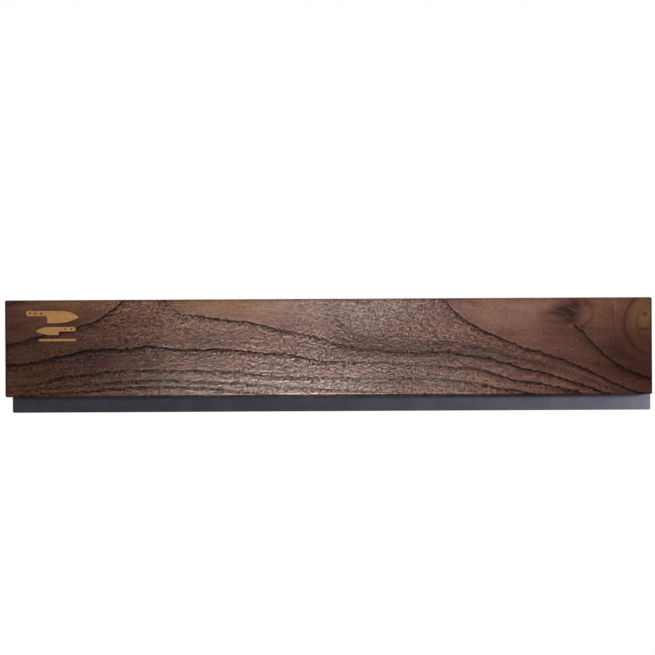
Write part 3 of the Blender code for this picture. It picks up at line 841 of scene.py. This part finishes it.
def make_mark(node, material):
    """An inlaid shape, with an attribute that is 0 on its outline and 1 inside."""
    low, high = box_mm(node)
    outline = mark_outline(node)
    mesh = mesh_from(prism(outline, low[1] + SKIN_SINK, high[1]), node)
    if node in MARK_SHARES:
        handle, grip, leftwards = MARK_SHARES[node]
        rivets = 2 if leftwards else 3
        cutters = []
        for number in range(rivets):
            along = handle * (number + 0.75) / (rivets + 0.5)
            x = high[0] - along if leftwards else low[0] + along
            hole = arc((x, high[2] - grip / 2), RIVET_RADIUS, 0, 345, 23)
            cutters.append(mesh_from(prism(hole, low[1] - 1, high[1] + 1), "rivet"))
        mesh = cut_away(mesh, cutters)
    bm = bmesh.new()
    bm.from_mesh(mesh)
    front = [f for f in bm.faces if f.normal.y < -0.9]
    inner = bm.verts.layers.float.new("inner")
    bmesh.ops.inset_region(bm, faces=front, thickness=INLAY_EDGE * MM, use_even_offset=True)
    for face in front:
        for vert in face.verts:
            vert[inner] = 1.0
    bm.to_mesh(mesh)
    bm.free()
    new_piece(node.replace("mark", "inlay"), mesh, material, "bar", "tan_inlay", node)


SLOT_HALF = 2.4  # half the width of a keyhole's slot
SINK_BORE, SINK_RADIUS, SINK_DEPTH = 1.8, 3.4, 1.45  # the holes for the plate screws


def make_plate(material):
    """The back plate with its keyholes, sunk holes and rolled edges."""
    plate = slab("back_plate", "plate", 1.0, 8)
    cutters = []
    half = degrees(asin(SLOT_HALF / POCKET_RADIUS))
    for side in SIDES:
        x, z = centre_xz(f"wall_screw_{side}")
        entry = arc((x, z - LIFT), POCKET_RADIUS, 90 + half, 450 - half, 48)
        hole = entry + arc((x, z), SLOT_HALF, 0, 180, 20)
        cutters.append(mesh_from(prism(hole, PLATE_LOW[1] - 1, PLATE_HIGH[1] + 1), "keyhole"))
    under = PLATE_LOW[1] - PLATE_HIGH[1] - 1
    profile = [(0.0, under), (SINK_BORE, under), (SINK_BORE, -SINK_DEPTH), (SINK_RADIUS, 0.0)]
    profile += [(SINK_RADIUS, 1.0), (0.0, 1.0)]
    turn = Matrix.Rotation(radians(-90), 4, "X")
    for node in PLATE_SCREWS:
        x, z = centre_xz(node)
        cutters.append(mesh_from(lathe(profile, 48), "sink", turn, (x, PLATE_HIGH[1], z)))
    made = rounded(cut_away(plate, cutters), 0.25, clamped=False, smooth=10.0)
    return new_piece("plate", made, material, "bar", "dark_painted_steel", "back_plate")


def make_block(node, name, material, slot, edge):
    """A rail or a magnet: its CAD node's box with rounded edges."""
    mesh = rounded(slab(node, name), edge, segments=3)
    new_piece(name, mesh, material, "bar", slot, node)


FOAM_VOXEL = 0.8
FOAM_ROUND = 1.1
FOAM_PITS = 0.32  # depth of the cut cells in its surface


def make_foam(material):
    """The foam strip: soft edges and a skin of cut cells."""
    mesh = rounded(slab("foam_strip", "foam", 2.0, 6), FOAM_ROUND, segments=3)
    mesh = applied(mesh, ("REMESH", {"mode": "VOXEL", "voxel_size": FOAM_VOXEL * MM}))
    points = read_points(mesh)
    out = np.array([normal.vector for normal in mesh.vertex_normals])
    pits = np.array([noise.noise(p * 0.55) + 0.6 * noise.noise(p * 1.3) for p in points])
    write_points(mesh, points - out * FOAM_PITS * np.clip(0.45 + 0.8 * pits, 0.05, 1.0)[:, None])
    mesh.shade_smooth()
    foam = new_piece("foam", mesh, material, "bar", "grey_foam", "foam_strip")


PAD_GROOVE = (0.5, 0.45)  # half width and depth of a groove between two ribs
PAD_RIBS = 8
PAD_MARGIN = 2.6  # from the pad's edge to its first groove


def make_pad(material):
    """The rubber strip, with ribs along the face that lies on the wall."""
    low, high = box_mm("wall_pad")
    half, depth = PAD_GROOVE
    ends = low[0] + PAD_MARGIN, high[0] - PAD_MARGIN
    grooves = []
    for z in np.linspace(low[2] + PAD_MARGIN, high[2] - PAD_MARGIN, PAD_RIBS - 1):
        groove = rounded_rectangle(*ends, z - half, z + half, half * 0.98, 6)
        grooves.append(mesh_from(prism(groove, high[1] - depth, high[1] + 1.0), "groove"))
    mesh = rounded(cut_away(slab("wall_pad", "pad", 3.0, 10), grooves), 0.12)
    pad = new_piece("pad", mesh, material, "bar", "black_rubber", "wall_pad")


def cross_cutter(reach, width, depth, top):
    """A driver's cross, its arms narrowing to a blunt point."""
    half = width / 2
    arm = [(reach, -half), (reach, half), (half, half)]
    bm = bmesh.new()
    rings = []
    levels = ((top - depth, 0.35), (top - depth * 0.45, 0.78), (top + 0.05, 1.0), (top + 1.0, 1.0))
    for z, share in levels:
        ring = []
        for quarter in range(4):
            turn = Matrix.Rotation(quarter * pi / 2, 2)
            for x, y in arm:
                point = turn @ Vector((half + (x - half) * share if x > half else x, y))
                ring.append(bm.verts.new((point.x, point.y, z)))
        rings.append(ring)
    skin(bm, rings)
    bm.faces.new(rings[0])
    bm.faces.new(rings[-1])
    return bm


POINT_TAPER = 3.2  # length of a screw's point
RIDGE_HALF = 0.24  # half the width of a thread's ridge, as a share of the pitch
ROOT_DEPTH = 0.12  # how deep the thread's root is, as a share of the shank's radius


def screw_mesh(name, head, tip, shank, pitch, crest, cross):
    """A screw about Z: its thread up to the head's (radius, z) profile, and its cross."""
    neck = head[0][1]
    steps = int((neck - tip) / pitch * 8)
    profile = [(0.0, tip), (0.2, tip + 0.05)]
    for z in np.linspace(tip + 0.3, neck - 0.1, steps):
        profile.append((shank * min(1.0, 0.25 + (z - tip) / POINT_TAPER), z))
    profile += head

    def thread(radius, z, turn):
        if z > neck - 1.2 or z < tip + 0.2 or radius > shank:
            return radius
        phase = (z / pitch - turn / tau) % 1.0
        ridge = max(0.0, 1.0 - abs(phase - 0.5) / RIDGE_HALF)
        return radius - ROOT_DEPTH * shank + ridge * crest * min(1.0, radius / shank)

    body = mesh_from(lathe(profile, 32, thread), name)
    cutter = mesh_from(cross_cutter(*cross), "cross")
    return rounded(cut_away(body, [cutter]), 0.04, 1, 50.0)


def turned(mesh, name, spin, tip, place):
    """A copy of a mesh made about Z: spun about Z, tipped about X and put in place."""
    made = mesh.copy()
    made.name = name
    made.transform(Matrix.Rotation(radians(spin), 4, "Z"))
    turn = Matrix.Rotation(radians(tip), 4, "X")
    made.transform(Matrix.Translation(Vector(place) * MM) @ turn)
    return made


def make_plate_screws(material):
    """Countersunk screws: the heads are turned differently, as hands leave them."""
    low, high = box_mm("plate_screw_1")
    tip, radius = low[1] - high[1], (high[0] - low[0]) / 2
    head = [(1.42, -1.35), (radius - 0.05, -0.2), (radius, -0.1), (radius - 0.06, -0.02), (0.0, 0.0)]
    mesh = screw_mesh("plate_screw", head, tip, 1.42, 1.3, 0.42, (1.5, 0.62, 1.1, 0.0))
    for number, node in enumerate(PLATE_SCREWS, start=1):
        x, z = centre_xz(node)
        placed = turned(mesh, node, 37.0 * number, -90.0, (x, box_mm(node)[1][1], z))
        new_piece(f"fine_{node}", placed, material, "bar", "zinc_steel", node)


def make_wall_fixings(zinc, nylon):
    """The pan-head screws that the keyholes hang on, in their plugs."""
    low, high = box_mm("wall_screw_left")
    radius, tall, rise = (high[0] - low[0]) / 2, 2.4, 0.9  # rise is where the dome starts
    seat = low[1] + tall  # where the head's underside is
    turns = np.radians((15, 35, 55, 72))
    dome = [(radius * cos(a), rise + (tall - rise) * sin(a)) for a in turns]
    head = [(1.66, 0.0), (radius - 0.15, 0.0), (radius, 0.15), (radius, rise), *dome, (0.0, tall)]
    cross = (2.1, 0.8, 1.6, tall - 0.03)
    screw = screw_mesh("wall_screw", head, seat - high[1], 1.66, 1.6, 0.42, cross)
    plug = plug_mesh()
    for side, spin in zip(SIDES, (20.0, 65.0)):
        x, z = centre_xz(f"wall_screw_{side}")
        for node, mesh, turn, y, material, slot in (
            (f"wall_screw_{side}", screw, spin, seat, zinc, "zinc_steel"),
            (f"wall_plug_{side}", plug, 0.0, 0.0, nylon, "grey_nylon"),
        ):
            placed = turned(mesh, node, turn, 90.0, (x, y, z))
            new_piece(f"fine_{node}", placed, material, "wall_fixings", slot, node)


def plug_mesh():
    """A nylon plug about Z: collar, barbed body with soft edges, and the slit in its end."""
    low, high = box_mm("wall_plug_left")
    collar, length = -low[1], high[1]
    radius, rim, bore = 3.0, (high[0] - low[0]) / 2, 2.1
    barbs, start, end = 5, -6.0, 3.0 - length
    pitch = (start - end) / barbs
    outside = [(0.0, -length), (radius * 0.62, -length), (radius * 0.72, 0.15 - length), (radius, end)]
    for barb in range(barbs):
        z = end + barb * pitch
        outside += [(radius + 0.42, z + pitch * 0.62), (radius + 0.45, z + pitch * 0.7)]
        outside += [(radius + 0.32, z + pitch * 0.8), (radius, z + pitch * 0.9)]
    outside += [(radius, -0.1), (radius + 0.1, 0.0), (rim - 0.1, 0.0), (rim, 0.1), (rim, collar - 0.2)]
    outside += [(rim - 0.2, collar)]
    inside = [(bore + 0.25, collar), (bore, collar - 0.3), (bore, 1.5 - length), (0.0, 1.5 - length)]
    body = mesh_from(lathe(outside + inside, 48), "plug")
    slit = [(-0.4, -length - 1.0), (0.4, -length - 1.0), (0.4, -9.4), (0.0, -9.0), (-0.4, -9.4)]
    tool = mesh_from(prism(slit, -6.0, 6.0), "slit")
    return rounded(cut_away(body, [tool]), 0.05, 1, 50.0)


# --- light and camera ---

CAMERA_DISTANCE = 4000.0  # from the wood's front face
CAMERA_SIDE, CAMERA_HEIGHT = -0.6, 12.2
CAMERA_ROLL = 0.3  # degrees
BAR_SHARE = 0.98794  # how much of the picture's width the bar takes


def make_camera():
    """The camera, which looks straight at the front."""
    camera = bpy.data.cameras.new("camera")
    length = WOOD_HIGH[0] - WOOD_LOW[0]
    camera.lens = camera.sensor_width * BAR_SHARE * CAMERA_DISTANCE / length
    camera.clip_start, camera.clip_end = 0.05, 50.0
    obj = new_object("camera", camera)
    obj.location = Vector((CAMERA_SIDE, WOOD_FRONT - CAMERA_DISTANCE, CAMERA_HEIGHT)) * MM
    obj.rotation_euler = (radians(90.0), radians(CAMERA_ROLL), 0.0)
    bpy.context.scene.camera = obj


def area_light(
    name, place, target, size, power,
    only=None, diffuse=True, gloss=True, colour=(1.0, 1.0, 1.0), spread=180.0,
):
    """A soft light in metres, watts and degrees. only limits it to a collection's objects."""
    light = bpy.data.lights.new(name, "AREA")
    light.shape = "RECTANGLE"
    light.size, light.size_y = size
    light.energy = power
    light.color = colour
    light.spread = radians(spread)
    obj = new_object(name, light)
    obj.location = place
    obj.rotation_euler = (Vector(target) - Vector(place)).to_track_quat("-Z", "Y").to_euler()
    obj.visible_camera = False
    obj.visible_diffuse, obj.visible_glossy = diffuse, gloss
    if only:
        obj.light_linking.receiver_collection = only


def collection_of(name, *objects):
    """A collection for light linking."""
    made = bpy.data.collections.new(name)
    for obj in objects:
        made.objects.link(obj)
    return made


def make_world():
    """A white background that lights the object faintly."""
    world = bpy.data.worlds.new("studio")
    world.use_nodes = True
    nodes, links = world.node_tree.nodes, world.node_tree.links
    background, level = nodes["Background"], nodes.new("ShaderNodeMapRange")
    seen = nodes.new("ShaderNodeLightPath").outputs["Is Camera Ray"]
    level.inputs["To Min"].default_value = 0.1
    links.new(seen, level.inputs["Value"])
    links.new(level.outputs["Result"], background.inputs["Strength"])
    background.inputs["Color"].default_value = (1.0, 1.0, 1.0, 1.0)
    bpy.context.scene.world = world
    bpy.context.scene.view_settings.view_transform = "Standard"


FLOOR_HEIGHT = -460.0
FLOOR_REACH = 4900.0


def make_floor():
    """A pale floor well under the bar, out of the main view."""
    bm = bmesh.new()
    bmesh.ops.create_grid(bm, x_segments=1, y_segments=1, size=FLOOR_REACH)
    mesh = mesh_from(bm, "floor", place=(0.0, 0.0, FLOOR_HEIGHT))
    g = Graph("floor", roughness=0.9)
    cloud = g.noise(g.vector(*g.place()), 0.01, 3.0)
    g.set(base_color=g.mix(cloud, (0.8, 0.8, 0.8), (0.84, 0.84, 0.835)))
    mesh.materials.append(g.material)
    floor = new_object("floor", mesh)
    floor.visible_diffuse = floor.visible_glossy = False
    floor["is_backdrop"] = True
    return floor


def make_pieces():
    """Every piece of the object. The plate is handed back, for its own lights."""
    make_walnut(walnut_material())
    plate = make_plate(painted_steel())
    inlay = inlay_material()
    for node in MARKS:
        make_mark(node, inlay)
    steel = bare_metal("bare_steel", (0.5, 0.5, 0.51), 0.3, 0.05)
    zinc = bare_metal("zinc_steel", (0.6, 0.6, 0.58), 0.22, 1.0)
    for side in ("upper", "lower"):
        make_block(f"pole_rail_{side}", f"rail_{side}", steel, "bare_steel", 0.4)
    ferrite = speckled("ferrite", (0.075, 0.075, 0.08), (0.035, 0.035, 0.038), 0.5, 2.0, 0.02)
    for number in range(1, 13):
        make_block(f"magnet_{number:02d}", f"ferrite_{number:02d}", ferrite, "ferrite", 0.7)
    make_foam(speckled("grey_foam", (0.22, 0.22, 0.23), (0.08, 0.08, 0.085), 0.85, 2.5, 0.2))
    make_pad(speckled("black_rubber", (0.03, 0.03, 0.032), (0.012, 0.012, 0.013), 0.75, 3.0, 0.03))
    make_plate_screws(zinc)
    nylon = speckled("grey_nylon", (0.46, 0.47, 0.48), (0.36, 0.37, 0.38), 0.5, 3.0, 0.01)
    make_wall_fixings(zinc, nylon)
    return plate


def make_lights(plate, floor):
    """Lights for the wood's sheen, its flat colour and the plate's lip, then open ones."""
    others = [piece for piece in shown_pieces() if piece != plate]
    screws = [piece for piece in others if piece.name.startswith("fine_")]
    all_but_plate = collection_of("all_but_plate", *others)
    sheen = {"only": all_but_plate, "diffuse": False, "colour": (1.0, 0.9, 0.84)}
    area_light("sheen", (-0.006, -0.55, -0.14), (-0.006, 0.0, -0.005), (0.18, 0.13), 0.085,
               spread=32.0, **sheen)
    area_light("sheen_low", (-0.035, -0.3, -0.085), (-0.035, 0.0, -0.08), (0.08, 0.05), 0.02,
               spread=56.0, **sheen)
    flat = {"only": all_but_plate, "gloss": False}
    area_light("front", (0.03, -0.35, 0.03), (0.03, 0.0, 0.03), (0.2, 0.2), 1.1, **flat)
    lip = {"only": collection_of("plate_only", plate), "gloss": False}
    area_light("lip", (0.36, -0.3, 0.0), (0.1, 0.0, -0.03), (0.1, 0.03), 2.9, **lip)
    area_light("lip_left", (-0.15, -0.4, -0.05), (-0.15, 0.0, -0.035), (0.4, 0.05), 0.5, **lip)
    area_light("lip_end", (0.235, -0.05, -0.03), (0.2, 0.0, -0.035), (0.02, 0.02), 0.08, **lip)
    centre = (0.0, 0.0, 0.0)
    area_light("behind", (-0.5, 1.4, 0.9), centre, (1.2, 1.2), 22.0, gloss=False)
    shine = {"only": collection_of("plate_and_fixings", plate, *screws), "diffuse": False}
    area_light("behind_shine", (-0.4, 1.4, 0.5), centre, (1.2, 1.2), 13.0, **shine)
    for side in (-1, 1):
        area_light("end", (side * 1.1, 0.9, 0.3), centre, (0.8, 0.8), 16.0, gloss=False)
    area_light("above", (0.3, -0.1, 1.4), centre, (1.2, 1.2), 4.0)
    on_floor = {"only": collection_of("floor_only", floor)}
    area_light("over_floor", (0.0, 0.0, 6.0), centre, (9.0, 9.0), 900.0, **on_floor)


def main():
    plate = make_pieces()
    make_camera()
    make_world()
    make_lights(plate, make_floor())


main()
